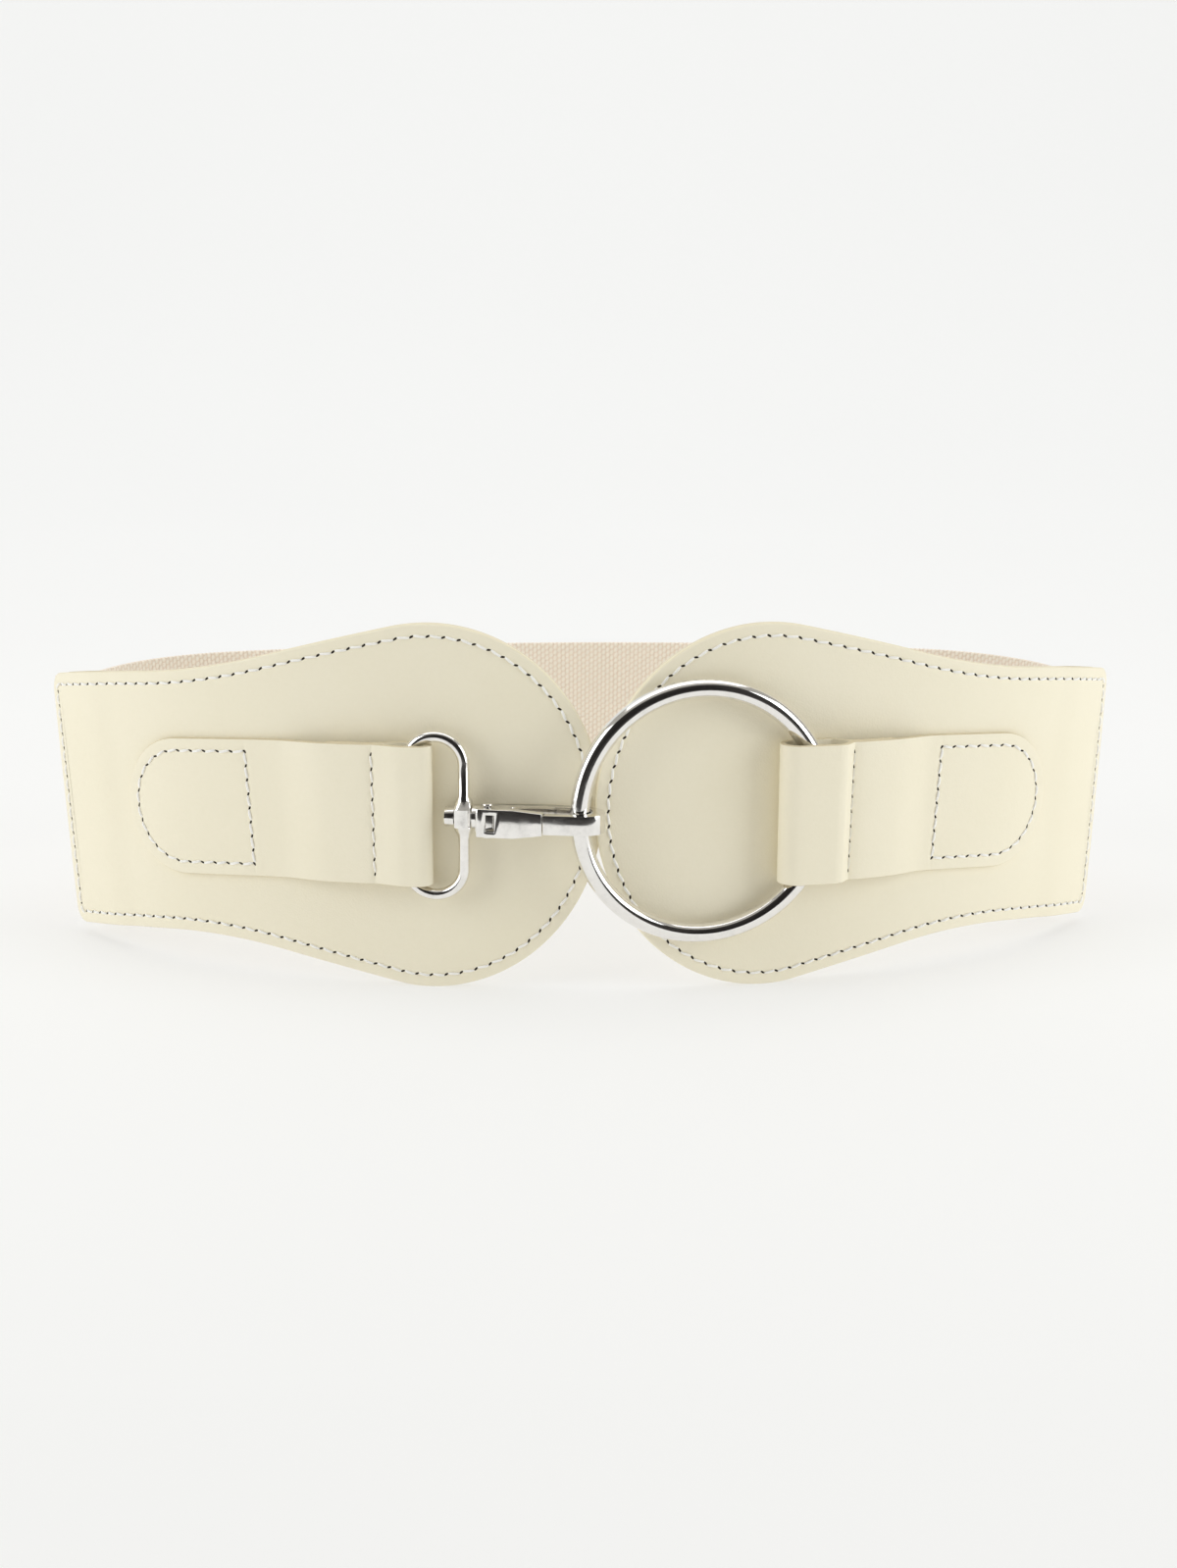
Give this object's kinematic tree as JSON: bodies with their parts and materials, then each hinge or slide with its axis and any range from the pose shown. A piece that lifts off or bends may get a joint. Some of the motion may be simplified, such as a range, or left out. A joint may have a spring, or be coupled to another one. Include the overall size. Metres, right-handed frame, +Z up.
{
  "type": "elastic stretch waist belt",
  "caption": "Wide stretch waist belt: shaped leather front panels on a broad elastic back, closed by a swivel snap hook clipped into a round metal ring on folded straps.",
  "frame": {"origin": "on the surface the belt stands on, below the middle of its outline", "axes": "+X along the belt's width, towards the panel that carries the ring; +Z up; the closed front faces -Y and the elastic back +Y"},
  "size_m": [0.303, 0.1718, 0.097],
  "materials": {
    "leather": "smooth matte cream leather with a very fine grain",
    "lining": "plain cream lining leather",
    "elastic": "broad woven elastic, pinkish beige",
    "nickel": "polished nickel plating"
  },
  "bodies": {
    "belt": {"elastic_band": "elastic", "left_panel_backing": "lining", "left_panel_face": "leather", "right_panel_backing": "lining", "right_panel_face": "leather", "left_strap": "leather", "right_strap": "leather", "ring": "nickel", "swivel_loop": "nickel", "hook_body": "nickel", "gate_pin": "nickel"},
    "gate": {"hook_gate": "nickel"}
  },
  "joints": [
    {"name": "gate_hinge", "type": "hinge", "parent": "belt", "child": "gate", "pos_m": [-0.02901, -0.07813, 0.0475], "axis": [0, 0, 1], "range_deg": [0, 22], "stiffness_Nm_per_rad": 0.02, "springref_deg": -11.46}
  ]
}
